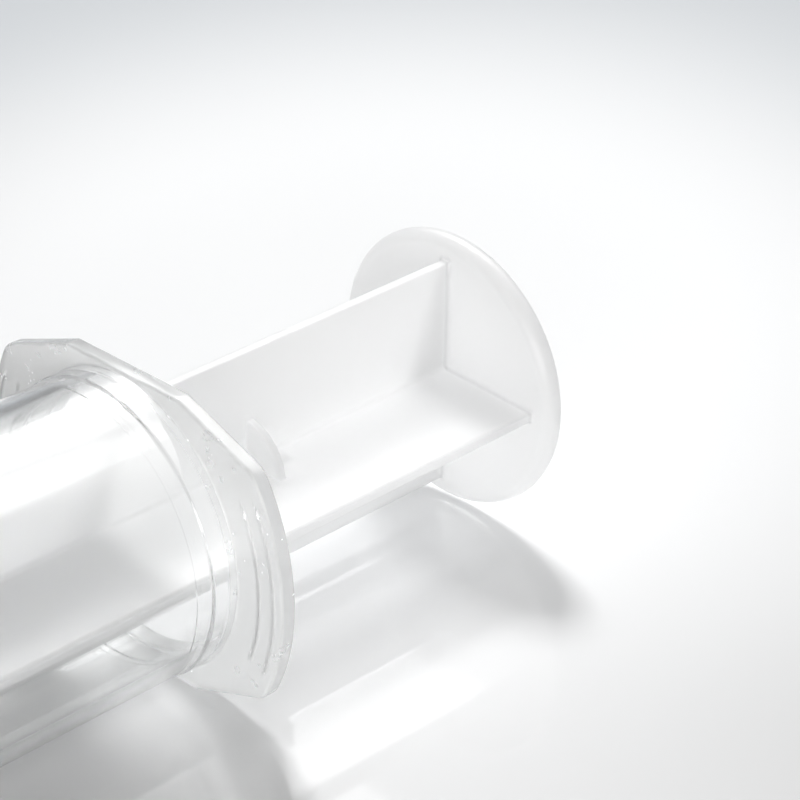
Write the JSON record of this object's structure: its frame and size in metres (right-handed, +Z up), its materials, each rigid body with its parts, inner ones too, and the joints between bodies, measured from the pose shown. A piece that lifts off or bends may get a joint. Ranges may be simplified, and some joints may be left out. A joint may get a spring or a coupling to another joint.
{
  "type": "syringe",
  "caption": "Large clear piston syringe with an oval finger flange, screw-lock tip, rubber stopper and cross-ribbed plunger rod with a round thumb disc, drawn partly out.",
  "frame": {"origin": "centre of the tip's mouth, on the syringe's axis", "axes": "+X along the axis from the tip to the thumb disc, +Z up, square to the flange's flats, +Y along the flange's ears"},
  "size_m": [0.1756, 0.046, 0.0338],
  "materials": {
    "clear_barrel": "clear moulded plastic, glossy",
    "ink": "printed ink",
    "stopper_rubber": "satin",
    "milky_rod": "milky translucent, frosted"
  },
  "bodies": {
    "barrel": {"barrel": "clear_barrel", "scale_marks": "ink"},
    "stopper": {"stopper": "stopper_rubber"},
    "plunger": {"plunger_rod": "milky_rod"}
  },
  "joints": [
    {"name": "plunger_slide", "type": "slide", "parent": "barrel", "child": "stopper", "axis": [1, 0, 0], "range_m": [-0.0346, 0.0593]},
    {"name": "rod_spin", "type": "hinge", "parent": "stopper", "child": "plunger", "pos_m": [0.07, 0, 0], "axis": [1, 0, 0], "continuous": true}
  ]
}
